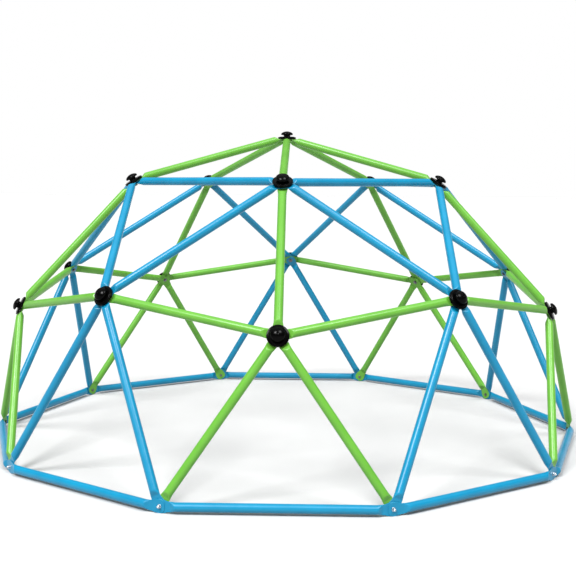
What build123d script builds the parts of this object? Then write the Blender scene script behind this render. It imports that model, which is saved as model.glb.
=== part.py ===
from build123d import *
from math import cos, radians, sin, sqrt
import os

# A dome climber: half of a two-frequency icosahedral geodesic sphere, bolted
# together from 65 painted steel tubes with flattened ends. Millimetres, +Z up,
# the origin on the ground at the dome's centre. A five-way hub faces -Y.

# ---- Driving dimensions ----
DOME_RADIUS = 1500.0          # to the middle of every stack of flattened ends

TUBE_DIAMETER = 38.0
TUBE_WALL = 1.2
TAB_THICKNESS = 2 * TUBE_WALL  # a flattened end is two walls thick
TAB_HALF_WIDTH = 29.0
TAB_TIP = 22.0                # bolt to the cut end, whose corners are rounded by as much
TAB_PARALLEL = 10.0           # the sides run straight this far past the bolt
TAB_FLAT = 40.0               # bolt to where the flattened end starts to open
TAB_END_HALF_WIDTH = 22.0     # half width there, clear of the neighbouring tabs
BEND = 42.0                   # bolt to the bend
HOLE_DIAMETER = 9.0

# Past the bend the tube opens until it is round: distance from the bolt, width
# and height of the outside, then the same for the hollow, which pinches out.
SWAGE = [(46.0, 43.6, 5.2), (53.0, 41.4, 21.0), (60.0, 39.0, 35.0),
         (66.0, TUBE_DIAMETER, TUBE_DIAMETER), (70.0, TUBE_DIAMETER, TUBE_DIAMETER)]
HOLLOW = [(45.5, 39.0, 2.0)] + [(s, w - 2 * TUBE_WALL, h - 2 * TUBE_WALL) for s, w, h in SWAGE[1:]]
ROUND = SWAGE[-1][0]          # bolt to the start of the round tube

BOLT_DIAMETER = 8.0
HEX_ACROSS_FLATS = 13.0
HEAD_HEIGHT = 5.3
HUB_BOLT_LENGTH = 45.0        # ends inside the knob's bore
BASE_BOLT_LENGTH = 20.0
WASHER_THICKNESS = 1.6
WASHER_BORE = 8.4
HUB_WASHER_DIAMETER = 24.0
BASE_WASHER_DIAMETER = 17.0

DISH_RADIUS = 46.5
DISH_FOOT_RADIUS = 38.5       # the underside is flat to here and lifts clear of the bars at the rim
DISH_RIM_LIFT = 1.6
DISH_RIM = 11.0               # height of the top of the dish's upright rim
DISH_STEP_RADIUS = 38.5       # the flange slopes in to here, and a step leads to the cone
DISH_STEP_FOOT = 12.2
DISH_STEP_TOP = 13.2
DISH_CROWN_RADIUS = 20.0
DISH_HEIGHT = 15.0
DISH_BORE = 8.6

KNOB_RADIUS = 30.5
KNOB_STEM_RADIUS = 17.0
KNOB_STEM_HEIGHT = 5.0
KNOB_LIP_RADIUS = 29.0        # the head's underside slopes out to here
KNOB_LIP_HEIGHT = 7.5
KNOB_EDGE_HEIGHT = 11.0       # foot of the stem to the head's widest line
KNOB_EDGE_RADIUS = 8.5        # the head's rounded edge, turning through this arc
KNOB_EDGE_ARC = 55.0
KNOB_BORE_DEPTH = 19.0
NUT_HEIGHT = 6.8
NUT_BORE = 8.1
NUT_CLEARANCE = 0.1           # between the nut's flats and its pocket

CAP_NUT_HEIGHT = 15.0
CAP_NUT_HEX_HEIGHT = 8.0
CAP_NUT_DOME_RADIUS = 6.2
CAP_NUT_BORE_DEPTH = 11.0

# ---- Where the joints are ----
FOLDS = 5                     # the dome repeats every 72 degrees
STEP = 360.0 / FOLDS
FIRST_AZIMUTH = -90.0         # a five-way hub faces -Y
CORNER_LATITUDE = 26.5650512  # the icosahedron's lower ring of corners
EDGE_LATITUDE = 31.7174744    # halfway between two corners of that ring
CROWN_LATITUDE = (90 + CORNER_LATITUDE) / 2
CENTRE = Vector(0, 0, TAB_HALF_WIDTH)  # so the edges of the lowest tabs are at Z 0


def on_sphere(latitude, azimuth):
    """Unit vector at a latitude and an azimuth in degrees."""
    lat = radians(latitude)
    az = radians(azimuth)
    return Vector(cos(lat) * cos(az), cos(lat) * sin(az), sin(lat))


APEX = Vector(0, 0, 1)
CROWN = [on_sphere(CROWN_LATITUDE, FIRST_AZIMUTH + STEP * k) for k in range(FOLDS)]
CORNER = [on_sphere(CORNER_LATITUDE, FIRST_AZIMUTH + STEP * k) for k in range(FOLDS)]
EDGE = [on_sphere(EDGE_LATITUDE, FIRST_AZIMUTH + STEP * (k + 0.5)) for k in range(FOLDS)]
BASE = [on_sphere(0, FIRST_AZIMUTH + STEP * (k / 2 + 0.25)) for k in range(2 * FOLDS)]

# Each joint stacks its tabs in this order, from the inside of the dome outwards.
APEX_STACK = [f"rib_{k}" for k in range(FOLDS)]
CROWN_STACK = ["shoulder", "ring_right", "brace_left", "ring_left", "brace_right", "rib"]
CORNER_STACK = ["leg_left", "ring_right", "leg_right", "ring_left", "shoulder"]
EDGE_STACK = ["leg_left", "ring_right", "brace_right", "ring_left", "leg_right", "brace_left"]
BASE_STACK = ["green_leg", "blue_leg", "ring_inner", "ring_outer"]


def level(stack, tab):
    """Radial offset of one tab from the middle of its stack."""
    return (stack.index(tab) - (len(stack) - 1) / 2) * TAB_THICKNESS


# ---- Struts ----
def oval(plane, width, height):
    """A partly flattened tube's section: two shallow arcs joined by two end arcs."""
    roundness = (height - TAB_THICKNESS) / (TUBE_DIAMETER - TAB_THICKNESS)
    x = (width - height) / 2 + height / 4 * roundness
    y = height / 2 * sqrt(1 - (roundness / 2) ** 2)
    outline = [
        ThreePointArc((-x, y), (0, height / 2), (x, y)),
        ThreePointArc((x, y), (width / 2, 0), (x, -y)),
        ThreePointArc((x, -y), (0, -height / 2), (-x, -y)),
        ThreePointArc((-x, -y), (-width / 2, 0), (-x, y)),
    ]
    return plane * make_face(outline)


def flat_tab(plane):
    """A flattened end in its own plane: the bolt at the origin, the tube towards +X."""
    tip_flat = TAB_HALF_WIDTH - TAB_TIP
    middle = (TAB_PARALLEL + TAB_FLAT) / 2
    shoulders = [Bezier((TAB_PARALLEL, side * TAB_HALF_WIDTH), (middle, side * TAB_HALF_WIDTH),
                        (middle, side * TAB_END_HALF_WIDTH), (TAB_FLAT, side * TAB_END_HALF_WIDTH))
                 for side in (1, -1)]
    outline = [
        JernArc((0, TAB_HALF_WIDTH), (-1, 0), TAB_TIP, 90),
        Line((-TAB_TIP, tip_flat), (-TAB_TIP, -tip_flat)),
        JernArc((-TAB_TIP, -tip_flat), (0, -1), TAB_TIP, 90),
        Line((0, TAB_HALF_WIDTH), (TAB_PARALLEL, TAB_HALF_WIDTH)),
        shoulders[0],
        Line((TAB_FLAT, TAB_END_HALF_WIDTH), (TAB_FLAT, -TAB_END_HALF_WIDTH)),
        shoulders[1],
        Line((TAB_PARALLEL, -TAB_HALF_WIDTH), (0, -TAB_HALF_WIDTH)),
    ]
    face = make_face(outline) - Circle(HOLE_DIAMETER / 2)
    return extrude(plane * face, TAB_THICKNESS / 2, both=True)


def strut(start, end, start_level, end_level):
    """One tube between two joints, its flattened ends at the given places in the stacks."""
    across = (start + end).cross(end - start).normalized()
    ends = []
    for here, there, offset in ((start, end, start_level), (end, start, end_level)):
        along = (there - here * here.dot(there)).normalized()
        hole = here * (DOME_RADIUS + offset) + CENTRE
        ends.append((hole, along, here, hole + along * BEND))

    span = ends[1][3] - ends[0][3]
    tube_length = span.length - 2 * (ROUND - BEND)
    body = []
    hollow = []
    for (hole, along, here, bend), axis in zip(ends, (span.normalized(), -span.normalized())):
        def section(distance, width, height):
            place = Plane(origin=bend + axis * (distance - BEND), x_dir=across, z_dir=axis)
            return oval(place, width, height)

        edge_plane = Plane(origin=hole + along * TAB_FLAT, x_dir=across, z_dir=along)
        first = edge_plane * Rectangle(2 * TAB_END_HALF_WIDTH, TAB_THICKNESS)
        body.append(flat_tab(Plane(origin=hole, x_dir=along, z_dir=here)))
        body.append(loft([first] + [section(*station) for station in SWAGE]))
        hollow.append(loft([section(*station) for station in HOLLOW]))

    tube_start = ends[0][3] + span.normalized() * (ROUND - BEND)
    tube_plane = Plane(origin=tube_start, x_dir=across, z_dir=span.normalized())
    body.append(Solid.make_cylinder(TUBE_DIAMETER / 2, tube_length, tube_plane))
    hollow.append(Solid.make_cylinder(TUBE_DIAMETER / 2 - TUBE_WALL, tube_length, tube_plane))
    return Part() + body - (Part() + hollow)


# ---- Hardware, each piece with its axis along +Z and the stack's face at Z 0 ----
def hexagon(across_flats):
    return RegularPolygon(across_flats / 2, 6, major_radius=False)


def turned(*outline):
    """A solid of revolution about Z from lines and arcs in the XZ plane."""
    return revolve(Plane.XZ * make_face(list(outline)), Axis.Z)


def hex_bolt(length):
    """Head below Z 0, shank above it."""
    head = extrude(hexagon(HEX_ACROSS_FLATS), -HEAD_HEIGHT)
    crown = Solid.make_cone(HEX_ACROSS_FLATS / 2 - 0.3, HEX_ACROSS_FLATS / 2 - 0.3 + HEAD_HEIGHT * 2,
                            HEAD_HEIGHT, Plane(origin=(0, 0, -HEAD_HEIGHT)))
    shank = extrude(Circle(BOLT_DIAMETER / 2), length)
    return (head & crown) + chamfer(shank.edges().sort_by(Axis.Z)[-1], 1.0)


def washer(diameter):
    return extrude(Circle(diameter / 2) - Circle(WASHER_BORE / 2), WASHER_THICKNESS)


def hex_nut():
    return extrude(hexagon(HEX_ACROSS_FLATS) - Circle(NUT_BORE / 2), NUT_HEIGHT)


def cap_nut():
    """A hexagon under a dome, bored from below and closed on top."""
    edge_z = CAP_NUT_HEIGHT - CAP_NUT_DOME_RADIUS
    dome = turned(
        Line((0, 0), (CAP_NUT_DOME_RADIUS, 0)),
        Line((CAP_NUT_DOME_RADIUS, 0), (CAP_NUT_DOME_RADIUS, edge_z)),
        JernArc((CAP_NUT_DOME_RADIUS, edge_z), (0, 1), CAP_NUT_DOME_RADIUS, 90),
        Line((0, CAP_NUT_HEIGHT), (0, 0)),
    )
    body = extrude(hexagon(HEX_ACROSS_FLATS), CAP_NUT_HEX_HEIGHT) + dome
    return body - extrude(Circle(NUT_BORE / 2), CAP_NUT_BORE_DEPTH)


def dish():
    """The hub's plastic dish: a thick flange, a step, a shallow cone up to a flat crown, and the bolt's bore."""
    return turned(
        Line((DISH_BORE / 2, 0), (DISH_FOOT_RADIUS, 0)),
        Line((DISH_FOOT_RADIUS, 0), (DISH_RADIUS, DISH_RIM_LIFT)),
        Line((DISH_RADIUS, DISH_RIM_LIFT), (DISH_RADIUS, DISH_RIM)),
        Line((DISH_RADIUS, DISH_RIM), (DISH_STEP_RADIUS, DISH_STEP_FOOT)),
        Line((DISH_STEP_RADIUS, DISH_STEP_FOOT), (DISH_STEP_RADIUS, DISH_STEP_TOP)),
        Line((DISH_STEP_RADIUS, DISH_STEP_TOP), (DISH_CROWN_RADIUS, DISH_HEIGHT)),
        Line((DISH_CROWN_RADIUS, DISH_HEIGHT), (DISH_BORE / 2, DISH_HEIGHT)),
        Line((DISH_BORE / 2, DISH_HEIGHT), (DISH_BORE / 2, 0)),
    )


def knob():
    """The mushroom knob, foot of the stem at Z 0, with a hexagonal pocket for its nut."""
    edge_end = radians(KNOB_EDGE_ARC)
    crown_radius = KNOB_EDGE_RADIUS + (KNOB_RADIUS - KNOB_EDGE_RADIUS) / cos(edge_end)
    crown_centre = KNOB_EDGE_HEIGHT - (crown_radius - KNOB_EDGE_RADIUS) * sin(edge_end)
    top = crown_centre + crown_radius
    lip_turn = Edge.make_tangent_arc((KNOB_RADIUS, KNOB_EDGE_HEIGHT), (0, -1), (KNOB_LIP_RADIUS, KNOB_LIP_HEIGHT))
    body = turned(
        Line((0, 0), (KNOB_STEM_RADIUS, 0)),
        Line((KNOB_STEM_RADIUS, 0), (KNOB_STEM_RADIUS, KNOB_STEM_HEIGHT)),
        Line((KNOB_STEM_RADIUS, KNOB_STEM_HEIGHT), (KNOB_LIP_RADIUS, KNOB_LIP_HEIGHT)),
        lip_turn,
        JernArc((KNOB_RADIUS, KNOB_EDGE_HEIGHT), (0, 1), KNOB_EDGE_RADIUS, KNOB_EDGE_ARC),
        CenterArc((0, crown_centre), crown_radius, KNOB_EDGE_ARC, 90 - KNOB_EDGE_ARC),
        Line((0, top), (0, 0)),
    )
    pocket = extrude(hexagon(HEX_ACROSS_FLATS + 2 * NUT_CLEARANCE), NUT_HEIGHT)
    return body - pocket - extrude(Circle(DISH_BORE / 2), KNOB_BORE_DEPTH)


# ---- Placing and saving ----
def turn(shape, k):
    """A copy of the shape k fifths of a turn around the dome."""
    return Rot(0, 0, STEP * k) * shape


def at_joint(direction, offset):
    """A place on a joint's axis, its Z outwards and its Y up the dome."""
    up = Vector(0, 0, 1) if direction.Z < 0.999 else Vector(0, 1, 0)
    across = up.cross(direction)
    return Location(Plane(origin=direction * (DOME_RADIUS + offset) + CENTRE, x_dir=across, z_dir=direction))


def save(name, solids):
    shape = solids[0] if len(solids) == 1 else Compound(children=solids)
    export_step(shape, f"parts/{name}.step")


def save_struts():
    """Every strut: one of each kind is shaped and turned to its five places."""
    def between(start, start_stack, start_tab, end, end_stack, end_tab):
        return strut(start, end, level(start_stack, start_tab), level(end_stack, end_tab))

    kinds = {
        "crown_ring": [between(CROWN[0], CROWN_STACK, "ring_right", CROWN[1], CROWN_STACK, "ring_left")],
        "shoulder_rib": [between(CROWN[0], CROWN_STACK, "shoulder", CORNER[0], CORNER_STACK, "shoulder")],
        "shoulder_braces": [
            between(CROWN[0], CROWN_STACK, "brace_right", EDGE[0], EDGE_STACK, "brace_left"),
            between(CROWN[1], CROWN_STACK, "brace_left", EDGE[0], EDGE_STACK, "brace_right")],
        "mid_ring_right": [between(CORNER[0], CORNER_STACK, "ring_right", EDGE[0], EDGE_STACK, "ring_left")],
        "mid_ring_left": [between(CORNER[0], CORNER_STACK, "ring_left", EDGE[-1], EDGE_STACK, "ring_right")],
        "green_legs": [
            between(CORNER[0], CORNER_STACK, "leg_right", BASE[0], BASE_STACK, "green_leg"),
            between(CORNER[0], CORNER_STACK, "leg_left", BASE[-1], BASE_STACK, "green_leg")],
        "blue_legs": [
            between(EDGE[0], EDGE_STACK, "leg_left", BASE[0], BASE_STACK, "blue_leg"),
            between(EDGE[0], EDGE_STACK, "leg_right", BASE[1], BASE_STACK, "blue_leg")],
        "base_ring_inner": [between(BASE[-1], BASE_STACK, "ring_inner", BASE[0], BASE_STACK, "ring_inner")],
        "base_ring_outer": [between(BASE[0], BASE_STACK, "ring_outer", BASE[1], BASE_STACK, "ring_outer")],
    }
    for k in range(FOLDS):
        rib = between(APEX, APEX_STACK, f"rib_{k}", CROWN[k], CROWN_STACK, "rib")
        save(f"apex_rib_{k + 1}", [rib])
        for kind, solids in kinds.items():
            save(f"{kind}_{k + 1}", [turn(solid, k) for solid in solids])


def save_hardware():
    """The hubs' and base joints' pieces: one node for each kind, one solid for each joint."""
    hubs = [(APEX, len(APEX_STACK))]
    for k in range(FOLDS):
        hubs += [(CROWN[k], len(CROWN_STACK)), (CORNER[k], len(CORNER_STACK)), (EDGE[k], len(EDGE_STACK))]

    def at_hubs(shape, outer, lift=0.0):
        """Copies against the inner or the outer face of each hub's stack."""
        side = 1 if outer else -1
        return [at_joint(direction, side * count * TAB_THICKNESS / 2 + lift) * shape
                for direction, count in hubs]

    def at_base(shape, outer, lift=0.0):
        side = 1 if outer else -1
        return [at_joint(direction, side * len(BASE_STACK) * TAB_THICKNESS / 2 + lift) * shape
                for direction in BASE]

    save("hub_bolts", at_hubs(hex_bolt(HUB_BOLT_LENGTH), outer=False, lift=-WASHER_THICKNESS))
    save("hub_washers", at_hubs(washer(HUB_WASHER_DIAMETER), outer=False, lift=-WASHER_THICKNESS))
    save("hub_dishes", at_hubs(dish(), outer=True))
    save("hub_knobs", at_hubs(knob(), outer=True, lift=DISH_HEIGHT))
    save("hub_knob_nuts", at_hubs(hex_nut(), outer=True, lift=DISH_HEIGHT))

    save("base_bolts", at_base(hex_bolt(BASE_BOLT_LENGTH), outer=False, lift=-WASHER_THICKNESS))
    save("base_inner_washers", at_base(washer(BASE_WASHER_DIAMETER), outer=False, lift=-WASHER_THICKNESS))
    save("base_outer_washers", at_base(washer(BASE_WASHER_DIAMETER), outer=True))
    save("base_cap_nuts", at_base(cap_nut(), outer=True, lift=WASHER_THICKNESS))


os.makedirs("parts", exist_ok=True)
save_struts()
save_hardware()
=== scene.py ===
from math import asin, atan2, cos, pi, radians, sin, sqrt, tan
import random

import bmesh
import bpy
from mathutils import Matrix, Vector


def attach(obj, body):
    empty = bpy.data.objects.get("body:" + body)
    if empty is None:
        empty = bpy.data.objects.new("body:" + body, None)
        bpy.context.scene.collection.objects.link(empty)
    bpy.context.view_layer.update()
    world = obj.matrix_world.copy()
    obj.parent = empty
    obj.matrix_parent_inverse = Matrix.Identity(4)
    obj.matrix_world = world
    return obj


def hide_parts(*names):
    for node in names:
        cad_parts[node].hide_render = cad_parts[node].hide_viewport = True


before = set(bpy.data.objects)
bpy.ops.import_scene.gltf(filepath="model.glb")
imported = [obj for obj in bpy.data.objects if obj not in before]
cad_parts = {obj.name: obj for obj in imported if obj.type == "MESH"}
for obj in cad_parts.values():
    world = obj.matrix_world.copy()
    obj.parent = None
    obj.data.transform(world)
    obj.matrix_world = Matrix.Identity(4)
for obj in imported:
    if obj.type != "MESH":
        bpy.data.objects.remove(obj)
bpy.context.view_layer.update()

# A dome climber in metres, in the CAD model's frame: the same joints, stacks and
# driving sizes as the CAD model, with the bars, fasteners and plastics built again
# as fine meshes. A five-way hub faces -Y, towards the camera.

# ---- Driving sizes ----
DOME_RADIUS = 1.5
TUBE_DIAMETER = 0.038
TUBE_WALL = 0.0012
TAB_THICKNESS = 2 * TUBE_WALL
TAB_HALF_WIDTH = 0.029
TAB_TIP = 0.022
TAB_PARALLEL = 0.010
TAB_FLAT = 0.040
TAB_END_HALF_WIDTH = 0.022
BEND = 0.042
BEND_SPREAD = 0.005           # the bend is spread this far either side
HOLE_RADIUS = 0.0045
ROUND_START = 0.067           # bolt to the fully round tube

BOLT_RADIUS = 0.004
HEX_ACROSS_FLATS = 0.013
HEAD_HEIGHT = 0.0053
WASHER_THICKNESS = 0.0016
WASHER_BORE = 0.0042
HUB_WASHER_RADIUS = 0.012
BASE_WASHER_RADIUS = 0.0085
HUB_BOLT_LENGTH = 0.045
BASE_BOLT_LENGTH = 0.020

DISH_RADIUS = 0.0465
DISH_FOOT_RADIUS = 0.0385
DISH_RIM_LIFT = 0.0016
DISH_RIM = 0.011
DISH_STEP_RADIUS = 0.0385
DISH_STEP_FOOT = 0.0122
DISH_STEP_TOP = 0.0132
DISH_HEIGHT = 0.015
DISH_CROWN_RADIUS = 0.020
DISH_BORE = 0.0043
KNOB_RADIUS = 0.0305
KNOB_STEM_RADIUS = 0.017
KNOB_STEM_HEIGHT = 0.005
KNOB_LIP_RADIUS = 0.029
KNOB_LIP_HEIGHT = 0.0075
KNOB_EDGE_HEIGHT = 0.011
KNOB_EDGE_RADIUS = 0.0085
KNOB_EDGE_ARC = 55.0

# ---- Where the joints are ----
FOLDS = 5
STEP = 360.0 / FOLDS
FIRST_AZIMUTH = -90.0
CORNER_LATITUDE = 26.5650512
EDGE_LATITUDE = 31.7174744
CROWN_LATITUDE = (90 + CORNER_LATITUDE) / 2
CENTRE = Vector((0, 0, TAB_HALF_WIDTH))


def on_sphere(latitude, azimuth):
    """Unit vector at a latitude and an azimuth in degrees."""
    lat = radians(latitude)
    az = radians(azimuth)
    return Vector((cos(lat) * cos(az), cos(lat) * sin(az), sin(lat)))


APEX = Vector((0, 0, 1))
CROWN = [on_sphere(CROWN_LATITUDE, FIRST_AZIMUTH + STEP * k) for k in range(FOLDS)]
CORNER = [on_sphere(CORNER_LATITUDE, FIRST_AZIMUTH + STEP * k) for k in range(FOLDS)]
EDGE = [on_sphere(EDGE_LATITUDE, FIRST_AZIMUTH + STEP * (k + 0.5)) for k in range(FOLDS)]
BASE = [on_sphere(0, FIRST_AZIMUTH + STEP * (k / 2 + 0.25)) for k in range(2 * FOLDS)]

# The order of each joint's stack, from the inside of the dome outwards.
APEX_STACK = [f"rib_{k}" for k in range(FOLDS)]
CROWN_STACK = ["shoulder", "ring_right", "brace_left", "ring_left", "brace_right", "rib"]
CORNER_STACK = ["leg_left", "ring_right", "leg_right", "ring_left", "shoulder"]
EDGE_STACK = ["leg_left", "ring_right", "brace_right", "ring_left", "leg_right", "brace_left"]
BASE_STACK = ["green_leg", "blue_leg", "ring_inner", "ring_outer"]
HUBS = [(APEX, len(APEX_STACK))]
for fold in range(FOLDS):
    HUBS += [(CROWN[fold], len(CROWN_STACK)), (CORNER[fold], len(CORNER_STACK)),
             (EDGE[fold], len(EDGE_STACK))]


def level(stack, tab):
    """Radial offset of one tab from the middle of its stack."""
    return (stack.index(tab) - (len(stack) - 1) / 2) * TAB_THICKNESS


def smooth(t):
    t = min(max(t, 0.0), 1.0)
    return t * t * (3 - 2 * t)


# ---- Mesh helpers ----
def solid_mesh(name, verts, faces):
    """A closed mesh with its faces turned outwards."""
    mesh = bpy.data.meshes.new(name)
    mesh.from_pydata([tuple(v) for v in verts], [], faces)
    outward = bmesh.new()
    outward.from_mesh(mesh)
    bmesh.ops.recalc_face_normals(outward, faces=outward.faces)
    outward.to_mesh(mesh)
    outward.free()
    return mesh


def finish_mesh(mesh, material, smooth_angle=30.0):
    """Smooth shading, kept sharp at edges steeper than the angle, and one material."""
    mesh.shade_smooth()
    mesh.set_sharp_from_angle(angle=radians(smooth_angle))
    mesh.materials.clear()
    mesh.materials.append(material)


def make_object(name, verts, faces, material, smooth_angle=30.0):
    mesh = solid_mesh(name, verts, faces)
    finish_mesh(mesh, material, smooth_angle)
    piece = bpy.data.objects.new(name, mesh)
    bpy.context.scene.collection.objects.link(piece)
    return piece


def stand_for(piece, node):
    """Stands the piece in for a CAD node: hides the node and puts the piece under the root body."""
    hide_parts(node)
    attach(piece, "root")
    return piece


# ---- Materials ----
def new_material(name):
    """A Principled material with its node tree, its shader and an object-space position."""
    material = bpy.data.materials.new(name)
    material.use_nodes = True
    tree = material.node_tree
    shader = tree.nodes["Principled BSDF"]
    place = tree.nodes.new("ShaderNodeTexCoord")
    return material, tree, shader, place.outputs["Object"]


def noise(tree, place, scale, detail=2.0):
    """Noise from 0 to 1 whose features are about 1 / scale metres across."""
    node = tree.nodes.new("ShaderNodeTexNoise")
    node.inputs["Scale"].default_value = scale
    node.inputs["Detail"].default_value = detail
    tree.links.new(place, node.inputs["Vector"])
    return node.outputs["Fac"]


def remap(tree, value, low, high, to_low, to_high):
    """The value with low to high stretched to to_low to to_high, and clamped."""
    node = tree.nodes.new("ShaderNodeMapRange")
    sockets = ("From Min", "From Max", "To Min", "To Max")
    for socket, number in zip(sockets, (low, high, to_low, to_high)):
        node.inputs[socket].default_value = number
    tree.links.new(value, node.inputs["Value"])
    return node.outputs["Result"]


def mixed(tree, amount, first, second):
    """Colour mix of two colours, each a socket or an RGB triple, by a socket."""
    node = tree.nodes.new("ShaderNodeMix")
    node.data_type = "RGBA"
    tree.links.new(amount, node.inputs["Factor"])
    for socket, colour in ((node.inputs["A"], first), (node.inputs["B"], second)):
        if isinstance(colour, bpy.types.NodeSocket):
            tree.links.new(colour, socket)
        else:
            socket.default_value = (*colour, 1)
    return node.outputs["Result"]


def bump(tree, shader, layers):
    """Stacks layers of (height socket, distance in metres, strength) on the shader's normal."""
    normal = None
    for height, distance, strength in layers:
        node = tree.nodes.new("ShaderNodeBump")
        node.inputs["Distance"].default_value = distance
        node.inputs["Strength"].default_value = strength
        tree.links.new(height, node.inputs["Height"])
        if normal:
            tree.links.new(normal, node.inputs["Normal"])
        normal = node.outputs["Normal"]
    tree.links.new(normal, shader.inputs["Normal"])


def powder_coat(name, colour, pale, deep):
    """Glossy powder coat: orange peel, faint cloudiness, and a paler tint painted on convex edges:
    partly a thinner coat there, partly a painted highlight.
    """
    material, tree, shader, place = new_material(name)
    cloud = remap(tree, noise(tree, place, 9.0, 3.0), 0.35, 0.65, 0.0, 1.0)
    body = mixed(tree, cloud, colour, deep)
    # Paler towards convex edges: a painted highlight along the edges, with a thinner coat there.
    geometry = tree.nodes.new("ShaderNodeNewGeometry")
    edge = remap(tree, geometry.outputs["Pointiness"], 0.53, 0.60, 0.0, 0.45)
    tree.links.new(mixed(tree, edge, body, pale), shader.inputs["Base Color"])
    rough = remap(tree, noise(tree, place, 60.0), 0.3, 0.7, 0.28, 0.36)
    tree.links.new(rough, shader.inputs["Roughness"])
    shader.inputs["Specular IOR Level"].default_value = 0.36
    bump(tree, shader, [(noise(tree, place, 420.0, 1.0), 0.0002, 0.18),
                        (noise(tree, place, 1600.0, 2.0), 0.00005, 0.12)])
    return material


def black_plastic():
    """Moulded black plastic with a fine gloss."""
    material, tree, shader, place = new_material("black_plastic")
    cloud = remap(tree, noise(tree, place, 40.0), 0.35, 0.65, 0.0, 1.0)
    tree.links.new(mixed(tree, cloud, (0.0006, 0.0006, 0.0006), (0.0012, 0.0012, 0.0012)),
                   shader.inputs["Base Color"])
    rough = remap(tree, noise(tree, place, 180.0, 3.0), 0.3, 0.7, 0.14, 0.20)
    tree.links.new(rough, shader.inputs["Roughness"])
    shader.inputs["Specular IOR Level"].default_value = 0.06
    bump(tree, shader, [(noise(tree, place, 260.0, 1.0), 0.0001, 0.12),
                        (noise(tree, place, 3000.0, 2.0), 0.00003, 0.15)])
    return material


def zinc_plate(name, bright, dull):
    """Zinc plate, mottled between two tones."""
    material, tree, shader, place = new_material(name)
    shader.inputs["Metallic"].default_value = 1.0
    cloud = remap(tree, noise(tree, place, 300.0, 3.0), 0.35, 0.65, 0.0, 1.0)
    tree.links.new(mixed(tree, cloud, bright, dull), shader.inputs["Base Color"])
    rough = remap(tree, noise(tree, place, 500.0, 4.0), 0.3, 0.7, 0.2, 0.38)
    tree.links.new(rough, shader.inputs["Roughness"])
    bump(tree, shader, [(noise(tree, place, 2500.0, 3.0), 0.00004, 0.25)])
    return material


# The third colour of each coat is the paler tint of its convex edges: a painted highlight, with a
# thinner coat there.
GREEN = powder_coat("green_tube", (0.108, 0.330, 0.034), (0.30, 0.60, 0.18), (0.094, 0.300, 0.028))
BLUE = powder_coat("blue_tube", (0.001, 0.200, 0.355), (0.10, 0.48, 0.68), (0.001, 0.176, 0.320))
BLACK = black_plastic()
ZINC = zinc_plate("zinc_steel", (0.66, 0.67, 0.69), (0.52, 0.53, 0.56))
# A darker copy of the zinc for the hardware inside the dome and inside the knobs: painted shade.
ZINC_PAINTED_SHADE = zinc_plate("zinc_steel_inside", (0.20, 0.20, 0.21), (0.13, 0.13, 0.14))


# ---- Bars ----
TOP_POINTS = 25               # vertices across each face of a flattened end
HALF = TAB_THICKNESS / 2
CUT_BEVEL = 0.00025
SLIT = 0.00015                # half gap between the two pressed walls at the cut end
SLIT_DEPTH = 0.0012
SIDE_ANGLES = [radians(60), radians(30), 0.0, radians(-30), radians(-60)]
FOLD_SIDE = [(HALF * cos(a) - HALF, HALF * sin(a)) for a in SIDE_ANGLES]
CUT_SIDE = [(0.0, HALF - CUT_BEVEL), (0.0, SLIT), (-SLIT_DEPTH, 0.0), (0.0, -SLIT),
            (0.0, CUT_BEVEL - HALF)]
SLIT_CLOSES = 0.006           # past the bolt the cut edge becomes a fold over this length
SHOULDER_STEPS = 15           # sections along the narrowing flat
OPENING_STEPS = 18            # and along the opening tube


def half_width(s):
    """Half width of the flattened end, s past the bolt."""
    if s < 0:
        return TAB_HALF_WIDTH - TAB_TIP + sqrt(max(TAB_TIP ** 2 - s * s, 0.0))
    if s <= TAB_PARALLEL:
        return TAB_HALF_WIDTH
    narrowed = smooth((s - TAB_PARALLEL) / (TAB_FLAT - TAB_PARALLEL))
    return TAB_HALF_WIDTH + (TAB_END_HALF_WIDTH - TAB_HALF_WIDTH) * narrowed


def flat_section(s):
    """Section of the flattened end as (y, z): top row, right side, bottom row and left side."""
    w = half_width(s)
    fold = smooth(s / SLIT_CLOSES)
    side = [(cut[0] + (f[0] - cut[0]) * fold, cut[1] + (f[1] - cut[1]) * fold)
            for cut, f in zip(CUT_SIDE, FOLD_SIDE)]
    shrink = CUT_BEVEL + (HALF - CUT_BEVEL) * fold
    top = [(-w + shrink + 2 * (w - shrink) * i / (TOP_POINTS - 1), HALF)
           for i in range(TOP_POINTS)]
    right = [(w + d, z) for d, z in side]
    bottom = [(y, -HALF) for y, _ in reversed(top)]
    left = [(-w - d, z) for d, z in reversed(side)]
    return top + right + bottom + left


def perimeter_shares():
    """How far around its quarter of the section each vertex lies, and the quarter's signs."""
    flat = TAB_END_HALF_WIDTH - HALF
    quarter = flat + HALF * pi / 2
    shares = []
    for y, z in flat_section(TAB_FLAT):
        if abs(y) <= flat + 1e-9:
            along = abs(y)
        else:
            along = flat + HALF * (pi / 2 - atan2(abs(z), abs(y) - flat))
        shares.append((along / quarter, 1 if y >= 0 else -1, 1 if z >= 0 else -1))
    return shares


SHARES = perimeter_shares()


def open_section(width, height):
    """A partly opened tube: flats of width - height between two half rounds of that height."""
    flat = max(width - height, 0.0) / 2
    radius = height / 2
    quarter = flat + radius * pi / 2
    points = []
    for share, side_y, side_z in SHARES:
        along = share * quarter
        if along <= flat:
            points.append((side_y * along, side_z * radius))
        else:
            angle = (along - flat) / radius
            points.append((side_y * (flat + radius * sin(angle)), side_z * radius * cos(angle)))
    return points


def swage(s):
    """Width and height of the opening tube, s past the bolt."""
    t = (s - TAB_FLAT) / (ROUND_START - TAB_FLAT)
    height = TAB_THICKNESS + (TUBE_DIAMETER - TAB_THICKNESS) * smooth(t)
    width = 2 * TAB_END_HALF_WIDTH + (TUBE_DIAMETER - 2 * TAB_END_HALF_WIDTH) * smooth(t)
    return width, height


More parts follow.
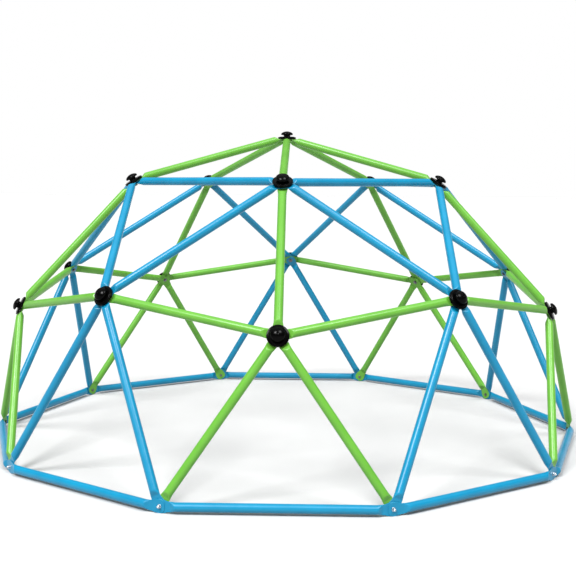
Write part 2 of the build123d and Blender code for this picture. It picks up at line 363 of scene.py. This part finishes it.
def end_stations():
    """Distances from the bolt where an end's sections are placed."""
    tip = [-TAB_TIP * cos(radians(a)) for a in range(8, 90, 8)]
    flat = [0.0, SLIT_CLOSES / 2, SLIT_CLOSES]
    flat += [TAB_PARALLEL + (TAB_FLAT - TAB_PARALLEL) * i / SHOULDER_STEPS
             for i in range(SHOULDER_STEPS)]
    opening = [TAB_FLAT + (ROUND_START - TAB_FLAT) * i / OPENING_STEPS
               for i in range(OPENING_STEPS + 1)]
    return tip, flat, opening


TIP_STATIONS, FLAT_STATIONS, OPENING_STATIONS = end_stations()


def end_rings(hole, along, normal, axis):
    """Rings from the cut end to the round tube, the cut end's middle and its side axis."""
    across = normal.cross(along)
    turn = along.angle(axis)

    def centre_and_up(s):
        """The path's point at s and its thickness direction, the bend being an arc about BEND."""
        if s <= BEND - BEND_SPREAD:
            return hole + along * s, normal
        share = min((s - (BEND - BEND_SPREAD)) / (2 * BEND_SPREAD), 1.0)
        angle = turn * share
        up = (normal * cos(angle) + along * sin(angle)).normalized()
        forward = (along * cos(angle) - normal * sin(angle)).normalized()
        start = hole + along * (BEND - BEND_SPREAD)
        radius = 2 * BEND_SPREAD / turn
        point = start + (along * sin(angle) - normal * (1 - cos(angle))) * radius
        if share >= 1.0:
            point = point + forward * (s - (BEND + BEND_SPREAD))
        return point, up

    rings = []
    place = hole - along * TAB_TIP
    cut = flat_section(-TAB_TIP)
    rings.append([place + along * CUT_BEVEL + across * y + normal * z for y, z in cut])
    for s in TIP_STATIONS + FLAT_STATIONS:
        point, up = centre_and_up(s)
        rings.append([point + across * y + up * z for y, z in flat_section(s)])
    for s in OPENING_STATIONS:
        point, up = centre_and_up(s)
        rings.append([point + across * y + up * z for y, z in open_section(*swage(s))])
    return rings, place, across


def cap_rows(verts, faces, ring_start, place, along, across, normal):
    """Closes the cut end from top to bottom row: bevel, wall, slit, wall, bevel."""
    sides = len(SIDE_ANGLES)
    top = [ring_start + i for i in range(TOP_POINTS)]
    right = [ring_start + TOP_POINTS + i for i in range(sides)]
    bottom = [ring_start + TOP_POINTS + sides + i for i in range(TOP_POINTS)][::-1]
    left = [ring_start + 2 * TOP_POINTS + sides + i for i in range(sides)][::-1]
    ys = [y for y, _ in flat_section(-TAB_TIP)[:TOP_POINTS]]
    rows = [top]
    for depth, z in CUT_SIDE:
        row = []
        for y in ys:
            row.append(len(verts))
            verts.append(place - along * depth + across * y + normal * z)
        rows.append(row)
    rows.append(bottom)
    for upper, lower in zip(rows, rows[1:]):
        for i in range(TOP_POINTS - 1):
            faces.append((upper[i], upper[i + 1], lower[i + 1], lower[i]))
    for j in range(sides - 1):
        faces.append((rows[j + 1][-1], right[j], right[j + 1], rows[j + 2][-1]))
        faces.append((left[j], rows[j + 1][0], rows[j + 2][0], left[j + 1]))
    faces.append((top[-1], right[0], rows[1][-1]))
    faces.append((top[0], rows[1][0], left[0]))
    faces.append((bottom[-1], rows[-2][-1], right[-1]))
    faces.append((bottom[0], left[-1], rows[-2][0]))


def bar_mesh(start, end, start_level, end_level):
    """Vertices, faces and bolt holes of one bar between two joints of the unit sphere."""
    ends = []
    for here, there, offset in ((start, end, start_level), (end, start, end_level)):
        along = (there - here * here.dot(there)).normalized()
        hole = here * (DOME_RADIUS + offset) + CENTRE
        ends.append((hole, along, here, hole + along * BEND))
    axis = (ends[1][3] - ends[0][3]).normalized()
    verts = []
    faces = []
    last = []
    count = 2 * TOP_POINTS + 2 * len(SIDE_ANGLES)
    for (hole, along, normal, _), heading in zip(ends, (axis, -axis)):
        rings, place, across = end_rings(hole, along, normal, heading)
        first = len(verts)
        for ring in rings:
            verts += ring
        cap_rows(verts, faces, first, place, along, across, normal)
        for r in range(len(rings) - 1):
            for i in range(count):
                j = (i + 1) % count
                a = first + r * count
                faces.append((a + i, a + j, a + count + j, a + count + i))
        last.append(first + (len(rings) - 1) * count)
    # The far end's sections run the other way round: each vertex joins the one in line with it.
    mirror = []
    for i in range(count):
        here = Vector(verts[last[0] + i])
        mirror.append(min(range(count),
                          key=lambda j: (Vector(verts[last[1] + j]) - here).cross(axis).length))
    for i in range(count):
        j = (i + 1) % count
        faces.append((last[0] + i, last[0] + j, last[1] + mirror[j], last[1] + mirror[i]))
    return verts, faces, [(e[0], e[2]) for e in ends]


def drilled(mesh, holes):
    """The mesh with a bolt hole cut through it at each hole's place and direction."""
    cutters = bmesh.new()
    for hole, normal in holes:
        turn = normal.to_track_quat("Z", "Y").to_matrix().to_4x4()
        bmesh.ops.create_cone(cutters, cap_ends=True, segments=40,
                              radius1=HOLE_RADIUS, radius2=HOLE_RADIUS,
                              depth=4 * TAB_THICKNESS, matrix=Matrix.Translation(hole) @ turn)
    cutter_mesh = bpy.data.meshes.new("cutter")
    cutters.to_mesh(cutter_mesh)
    cutters.free()
    cutter = bpy.data.objects.new("cutter", cutter_mesh)
    blank = bpy.data.objects.new("blank", mesh)
    for thing in (cutter, blank):
        bpy.context.scene.collection.objects.link(thing)
    cut = blank.modifiers.new("holes", "BOOLEAN")
    cut.object = cutter
    cut.operation = "DIFFERENCE"
    cut.solver = "EXACT"
    bpy.context.view_layer.update()
    depsgraph = bpy.context.evaluated_depsgraph_get()
    result = bpy.data.meshes.new_from_object(blank.evaluated_get(depsgraph))
    for thing in (cutter, blank):
        bpy.data.objects.remove(thing)
    return result


def bar_kind_mesh(name, spans, material):
    """One mesh with a bar for each span: (start, its stack, its tab, end, its stack, its tab)."""
    joined = bmesh.new()
    for start, start_stack, start_tab, end, end_stack, end_tab in spans:
        verts, faces, holes = bar_mesh(start, end, level(start_stack, start_tab),
                                       level(end_stack, end_tab))
        joined.from_mesh(drilled(solid_mesh(name, verts, faces), holes))
    mesh = bpy.data.meshes.new(name)
    joined.to_mesh(mesh)
    joined.free()
    finish_mesh(mesh, material)
    return mesh


def bar_kinds(rib_tab):
    """Every kind of bar, as it is in the first fold: its name, material, slot and spans."""
    green = (GREEN, "green_tube")
    blue = (BLUE, "blue_tube")
    apex = (APEX, APEX_STACK)
    crown = (CROWN[0], CROWN_STACK)
    next_crown = (CROWN[1], CROWN_STACK)
    corner = (CORNER[0], CORNER_STACK)
    edge = (EDGE[0], EDGE_STACK)
    last_edge = (EDGE[-1], EDGE_STACK)
    before = (BASE[-1], BASE_STACK)
    base = (BASE[0], BASE_STACK)
    after = (BASE[1], BASE_STACK)
    return [
        ("apex_rib", green, [(*apex, rib_tab, *crown, "rib")]),
        ("shoulder_rib", green, [(*crown, "shoulder", *corner, "shoulder")]),
        ("mid_ring_right", green, [(*corner, "ring_right", *edge, "ring_left")]),
        ("mid_ring_left", green, [(*corner, "ring_left", *last_edge, "ring_right")]),
        ("green_legs", green, [(*corner, "leg_right", *base, "green_leg"),
                               (*corner, "leg_left", *before, "green_leg")]),
        ("crown_ring", blue, [(*crown, "ring_right", *next_crown, "ring_left")]),
        ("shoulder_braces", blue, [(*crown, "brace_right", *edge, "brace_left"),
                                   (*next_crown, "brace_left", *edge, "brace_right")]),
        ("blue_legs", blue, [(*edge, "leg_left", *base, "blue_leg"),
                             (*edge, "leg_right", *after, "blue_leg")]),
        ("base_ring_inner", blue, [(*before, "ring_inner", *base, "ring_inner")]),
        ("base_ring_outer", blue, [(*base, "ring_outer", *after, "ring_outer")]),
    ]


def build_bars():
    """Each kind of bar, turned into its five places. Only the apex ribs differ, by their level."""
    meshes = {}
    for fold in range(FOLDS):
        turn = Matrix.Rotation(radians(STEP * fold), 4, "Z")
        for kind, (material, slot), spans in bar_kinds(APEX_STACK[fold]):
            if kind not in meshes or kind == "apex_rib":
                meshes[kind] = bar_kind_mesh(kind, spans, material)
            mesh = meshes[kind].copy()
            mesh.transform(turn)
            piece = bpy.data.objects.new(f"{kind}_{fold + 1}_bar", mesh)
            bpy.context.scene.collection.objects.link(piece)
            stand_for(piece, f"{kind}_{fold + 1}")


# ---- Hardware ----
HEX_SEGMENTS = 96             # vertices around a bolt, nut or knob
DISH_SEGMENTS = 144
HEX_ROUNDING = 1.135          # corner radius of a hexagon over half its width, 1.155 if sharp
CHAMFER = tan(radians(30))
FACE = 0.95                   # a bolt's or nut's flat face, as a share of half its width
CHAMFER_START = 0.97          # and where the chamfer of its corners starts


def at_joint(direction, offset, turn=0.0):
    """A place on a joint's axis, its Z outwards and its Y up the dome, turned about the axis."""
    up = Vector((0, 0, 1)) if direction.z < 0.999 else Vector((0, 1, 0))
    across = up.cross(direction).normalized()
    top = direction.cross(across)
    columns = Matrix((across, top, direction)).transposed().to_4x4()
    move = Matrix.Translation(direction * (DOME_RADIUS + offset) + CENTRE)
    return move @ columns @ Matrix.Rotation(turn, 4, "Z")


def circle_ring(radius, z, segments=HEX_SEGMENTS):
    """A ring of points about Z."""
    return [(radius * cos(2 * pi * i / segments), radius * sin(2 * pi * i / segments), z)
            for i in range(segments)]


def rings_to_mesh(rings, closed_start, closed_end, loop=False):
    """A surface through rings of equal count, closed at its ends by fans, or on itself."""
    verts = [v for ring in rings for v in ring]
    count = len(rings[0])
    faces = []
    pairs = list(zip(range(len(rings) - 1), range(1, len(rings))))
    if loop:
        pairs.append((len(rings) - 1, 0))
    for a, b in pairs:
        for i in range(count):
            j = (i + 1) % count
            faces.append((a * count + i, a * count + j, b * count + j, b * count + i))
    for closed, row in ((closed_start, 0), (closed_end, len(rings) - 1)):
        if closed:
            centre = sum((Vector(v) for v in rings[row]), Vector()) / count
            verts.append(centre)
            for i in range(count):
                faces.append((row * count + i, row * count + (i + 1) % count, len(verts) - 1))
    return verts, faces


def lathe(profile, segments, loop=False):
    """A profile of (radius, z) turned about Z. A radius of 0 at either end closes the form."""
    closed_start = profile[0][0] == 0
    closed_end = profile[-1][0] == 0
    body = profile[1 if closed_start else 0:len(profile) - 1 if closed_end else len(profile)]
    rings = [circle_ring(r, z, segments) for r, z in body]
    verts, faces = rings_to_mesh(rings, False, False, loop)
    ends = ((closed_start, profile[0], 0), (closed_end, profile[-1], len(rings) - 1))
    for closed, point, row in ends:
        if closed:
            verts.append((0, 0, point[1]))
            first = row * segments
            for i in range(segments):
                faces.append((first + i, first + (i + 1) % segments, len(verts) - 1))
    return verts, faces


def arc(centre, radius, start, end, steps):
    """Points on an arc in the profile plane, angles in degrees."""
    angles = [radians(start + (end - start) * i / steps) for i in range(steps + 1)]
    return [(centre[0] + radius * cos(a), centre[1] + radius * sin(a)) for a in angles]


def hex_radius(angle, across_flats):
    """Distance from the axis to a hexagon's side at an angle, its corners slightly rounded."""
    part = (angle + pi / 6) % (pi / 3) - pi / 6
    sharp = across_flats / 2 / cos(part)
    return min(sharp, across_flats / 2 * HEX_ROUNDING)


def hex_rings(levels, across_flats):
    """Rings of a hexagonal form at levels of (z, limit, slope).

    Past the limit radius, if there is one, the ring drops by the slope: a corner's chamfer.
    """
    rings = []
    for z, limit, slope in levels:
        ring = []
        for i in range(HEX_SEGMENTS):
            angle = 2 * pi * i / HEX_SEGMENTS
            r = hex_radius(angle, across_flats)
            height = z
            if limit is not None:
                height = z - slope * max(r - limit, 0.0)
            ring.append((r * cos(angle), r * sin(angle), height))
        rings.append(ring)
    return rings


def bolt_mesh(length):
    """A hexagon bolt: chamfered head with a washer face below Z 0, shank and chamfered tip."""
    flat = HEX_ACROSS_FLATS / 2
    washer_face = 0.0004
    tip = 0.001
    rings = [circle_ring(flat * FACE * 0.985, -HEAD_HEIGHT),
             circle_ring(flat * FACE, -HEAD_HEIGHT + 0.00006)]
    rings += hex_rings([(-HEAD_HEIGHT + 0.0001, flat * CHAMFER_START, -CHAMFER),
                        (-washer_face - 0.0001, None, 0.0)], HEX_ACROSS_FLATS)
    rings += [circle_ring(flat * 0.97, -washer_face), circle_ring(flat * 0.96, -0.00005),
              circle_ring(flat * FACE, 0)]
    rings += [circle_ring(BOLT_RADIUS, 0.0), circle_ring(BOLT_RADIUS, length - tip),
              circle_ring(BOLT_RADIUS - tip, length)]
    return rings_to_mesh(rings, True, True)


def cap_nut_mesh():
    """A domed cap nut: chamfered hexagon, a neck, a half-round dome and a blind bore."""
    flat = HEX_ACROSS_FLATS / 2
    bore = 0.00405
    bore_depth = 0.011
    bore_mouth = 0.0046
    dome = 0.0062
    top = 0.015
    hex_top = 0.008
    rings = [circle_ring(bore, bore_depth), circle_ring(bore, 0.0006), circle_ring(bore_mouth, 0.0)]
    rings += [circle_ring(flat * FACE, 0.0), circle_ring(flat * CHAMFER_START, 0.0001)]
    rings += hex_rings([(0.00015, flat * CHAMFER_START, -CHAMFER),
                        (hex_top, flat * CHAMFER_START, CHAMFER)], HEX_ACROSS_FLATS)
    rings += [circle_ring(flat * 0.965, hex_top + 0.00005), circle_ring(dome, hex_top + 0.0001)]
    rings += [circle_ring(r, z) for r, z in arc((0, top - dome), dome, 0, 84, 14)]
    return rings_to_mesh(rings, True, True)


def washer_mesh(radius):
    """A flat washer, its outer edge rounded more on the side away from Z 0."""
    edge = 0.0002
    t = WASHER_THICKNESS
    profile = [(WASHER_BORE, edge), (WASHER_BORE + edge, 0), (radius - edge, 0), (radius, edge),
               (radius, t - 2 * edge), (radius - 2 * edge, t), (WASHER_BORE + edge, t),
               (WASHER_BORE, t - edge)]
    return lathe(profile, HEX_SEGMENTS, loop=True)


def dish_mesh():
    """The dish: a thick rounded flange, a step, and a shallow cone up to the crown."""
    soft = 0.0006              # radius of the small rounded edges
    top = 0.0012               # and of the rim's top edge
    cone_steps = 15
    hollow = 0.0004            # the cone dips this far below a straight line
    low = (DISH_STEP_RADIUS - soft, DISH_STEP_TOP)
    profile = [(DISH_BORE, 0.0), (DISH_FOOT_RADIUS, 0.0)]
    profile += arc((DISH_RADIUS - soft, DISH_RIM_LIFT + 0.0005), soft, -80, 0, 5)
    profile += arc((DISH_RADIUS - top, DISH_RIM - top), top, 0, 76, 8)
    profile += [(DISH_STEP_RADIUS + soft, DISH_STEP_FOOT - 0.0001),
                (DISH_STEP_RADIUS, DISH_STEP_FOOT + 0.0002)]
    profile += arc((DISH_STEP_RADIUS - soft, DISH_STEP_TOP - soft), soft, 0, 84, 5)
    for i in range(1, cone_steps):
        t = i / cone_steps
        profile.append((low[0] + (DISH_CROWN_RADIUS + soft - low[0]) * t,
                        low[1] + (DISH_HEIGHT - 0.0003 - low[1]) * t - hollow * sin(pi * t)))
    profile += [(DISH_CROWN_RADIUS, DISH_HEIGHT - 0.0001), (DISH_CROWN_RADIUS - soft, DISH_HEIGHT),
                (DISH_BORE, DISH_HEIGHT)]
    return lathe(profile, DISH_SEGMENTS, loop=True)


def knob_mesh():
    """The mushroom knob: a waisted stem, a sloped underside, a rounded edge and a domed crown."""
    stem = KNOB_STEM_RADIUS
    waist = KNOB_STEM_HEIGHT
    soft = 0.0006              # the stem's foot
    fillet = 0.0012            # stem to head
    lip = 0.0015
    head = KNOB_RADIUS - KNOB_EDGE_RADIUS
    crown_radius = KNOB_EDGE_RADIUS + head / cos(radians(KNOB_EDGE_ARC))
    crown_z = KNOB_EDGE_HEIGHT - (crown_radius - KNOB_EDGE_RADIUS) * sin(radians(KNOB_EDGE_ARC))
    dimple = 0.0055
    dimple_depth = 0.0009
    profile = [(0, 0.0002), (DISH_BORE, 0.0002), (DISH_BORE + 0.0002, 0.0), (stem - soft, 0.0),
               (stem, soft), (stem - 0.0004, waist / 2), (stem, waist - 0.0008)]
    profile += arc((stem + fillet, waist - 0.0008), fillet, 180, 108, 5)[1:]
    profile += [(KNOB_LIP_RADIUS - 0.0008, KNOB_LIP_HEIGHT - 0.0001)]
    profile += arc((KNOB_LIP_RADIUS, KNOB_LIP_HEIGHT + lip), lip, -100, -10, 9)
    profile += [(KNOB_RADIUS, KNOB_EDGE_HEIGHT - 0.0005), (KNOB_RADIUS, KNOB_EDGE_HEIGHT)]
    profile += arc((head, KNOB_EDGE_HEIGHT), KNOB_EDGE_RADIUS, 4, KNOB_EDGE_ARC, 12)
    stop = 90 - asin((dimple + 0.0006) / crown_radius) * 180 / pi
    profile += arc((0, crown_z), crown_radius, KNOB_EDGE_ARC + 1.5, stop, 16)
    rim_z = crown_z + crown_radius * sin(radians(stop))
    profile += [(dimple, rim_z + 0.00005), (dimple - 0.0005, rim_z - 0.0003),
                (dimple * 0.6, rim_z - dimple_depth * 0.8),
                (dimple * 0.3, rim_z - dimple_depth), (0, rim_z - dimple_depth)]
    return lathe(profile, HEX_SEGMENTS)


def place_all(name, node, material, mesh, places, smooth_angle=30.0):
    """One piece with a copy of the mesh at each place."""
    base_verts, base_faces = mesh
    verts = []
    faces = []
    for place in places:
        first = len(verts)
        verts += [place @ Vector(v) for v in base_verts]
        faces += [tuple(first + i for i in face) for face in base_faces]
    return stand_for(make_object(name, verts, faces, material, smooth_angle), node)


def build_hardware():
    """Every fastener, dish and knob, each kind as one piece, turned at random about its joint."""
    chance = random.Random(7)

    def hubs(outer, lift):
        side = 1 if outer else -1
        return [at_joint(d, side * count * TAB_THICKNESS / 2 + lift, chance.uniform(0, pi))
                for d, count in HUBS]

    def bases(outer, lift):
        side = 1 if outer else -1
        offset = side * len(BASE_STACK) * TAB_THICKNESS / 2 + lift
        return [at_joint(d, offset, chance.uniform(0, pi)) for d in BASE]

    under = -WASHER_THICKNESS
    place_all("hub_dish_set", "hub_dishes", BLACK, dish_mesh(), hubs(True, 0.0))
    place_all("hub_knob_set", "hub_knobs", BLACK, knob_mesh(),
              hubs(True, DISH_HEIGHT))
    # The bolts and washers inside the dome take the darker zinc copy: painted shade.
    place_all("hub_bolt_set", "hub_bolts", ZINC_PAINTED_SHADE, bolt_mesh(HUB_BOLT_LENGTH),
              hubs(False, under), 20.0)
    place_all("hub_washer_set", "hub_washers", ZINC_PAINTED_SHADE, washer_mesh(HUB_WASHER_RADIUS),
              hubs(False, under))
    place_all("base_bolt_set", "base_bolts", ZINC_PAINTED_SHADE, bolt_mesh(BASE_BOLT_LENGTH),
              bases(False, under), 20.0)
    place_all("base_inner_washer_set", "base_inner_washers", ZINC_PAINTED_SHADE,
              washer_mesh(BASE_WASHER_RADIUS), bases(False, under))
    place_all("base_outer_washer_set", "base_outer_washers", ZINC,
              washer_mesh(BASE_WASHER_RADIUS), bases(True, 0.0))
    place_all("base_cap_nut_set", "base_cap_nuts", ZINC, cap_nut_mesh(),
              bases(True, WASHER_THICKNESS), 20.0)
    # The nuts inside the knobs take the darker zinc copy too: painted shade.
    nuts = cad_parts["hub_knob_nuts"]
    nuts.data.materials.clear()
    nuts.data.materials.append(ZINC_PAINTED_SHADE)


build_bars()
build_hardware()


# ---- Floor, light and camera ----
# Soft lights: azimuth and height in degrees, spread in degrees, strength.
SUNS = [("key", -126.0, 50.0, 19.0, 3.8),
        ("fill", -52.0, 58.0, 22.0, 2.4)]


def build_floor():
    """A plain pale floor."""
    material, tree, shader, place = new_material("floor")
    cloud = remap(tree, noise(tree, place, 1.5, 3.0), 0.3, 0.7, 0.0, 1.0)
    tree.links.new(mixed(tree, cloud, (0.50, 0.50, 0.50), (0.49, 0.49, 0.49)),
                   shader.inputs["Base Color"])
    shader.inputs["Roughness"].default_value = 0.9
    size = 200.0
    verts = [(-size, -size, 0), (size, -size, 0), (size, size, 0), (-size, size, 0)]
    floor = make_object("floor", verts, [(0, 1, 2, 3)], material)


def build_light():
    """A white studio, dimmer between horizon and zenith, with a soft key and fill."""
    world = bpy.data.worlds.new("studio")
    bpy.context.scene.world = world
    world.use_nodes = True
    tree = world.node_tree
    direction = tree.nodes.new("ShaderNodeTexCoord")
    split = tree.nodes.new("ShaderNodeSeparateXYZ")
    tree.links.new(direction.outputs["Generated"], split.inputs["Vector"])
    ramp = tree.nodes.new("ShaderNodeValToRGB")
    # Height of the direction, 0 at the horizon and 1 overhead, and the brightness there.
    stops = ((0.0, 1.0), (0.19, 1.0), (0.27, 0.12), (0.60, 0.20), (0.85, 1.0))
    elements = ramp.color_ramp.elements
    while len(elements) < len(stops):
        elements.new(0.5)
    for element, (position, value) in zip(elements, stops):
        element.position = position
        element.color = (value, value, value, 1)
    tree.links.new(split.outputs["Z"], ramp.inputs["Fac"])
    background = tree.nodes["Background"]
    tree.links.new(ramp.outputs["Color"], background.inputs["Color"])
    background.inputs["Strength"].default_value = 1.0
    for name, azimuth, height, soft, strength in SUNS:
        light = bpy.data.lights.new(name, "SUN")
        light.angle = radians(soft)
        light.energy = strength
        lamp = bpy.data.objects.new(name, light)
        away = on_sphere(height, azimuth)
        lamp.rotation_euler = away.to_track_quat("Z", "Y").to_euler()
        bpy.context.scene.collection.objects.link(lamp)
    bpy.context.scene.view_settings.view_transform = "Standard"


def build_camera():
    """The camera, in metres and radians: a distance in front and a turn around the dome."""
    distance = 5.485
    height = 1.282 + CENTRE.z
    pitch = -0.0998
    yaw = 0.002
    roll = -0.0074
    around = 0.0226
    camera = bpy.data.cameras.new("camera")
    camera.sensor_width = 36.0
    camera.lens = 65.6
    camera.clip_end = 100
    eye = bpy.data.objects.new("camera", camera)
    aim = (Matrix.Rotation(-yaw, 4, "Z") @ Matrix.Rotation(pi / 2 + pitch, 4, "X")
           @ Matrix.Rotation(-roll, 4, "Z"))
    stand = Matrix.Rotation(around, 4, "Z") @ Matrix.Translation((0, -distance, height))
    eye.matrix_world = stand @ aim
    bpy.context.scene.collection.objects.link(eye)
    bpy.context.scene.camera = eye


build_floor()
build_light()
build_camera()

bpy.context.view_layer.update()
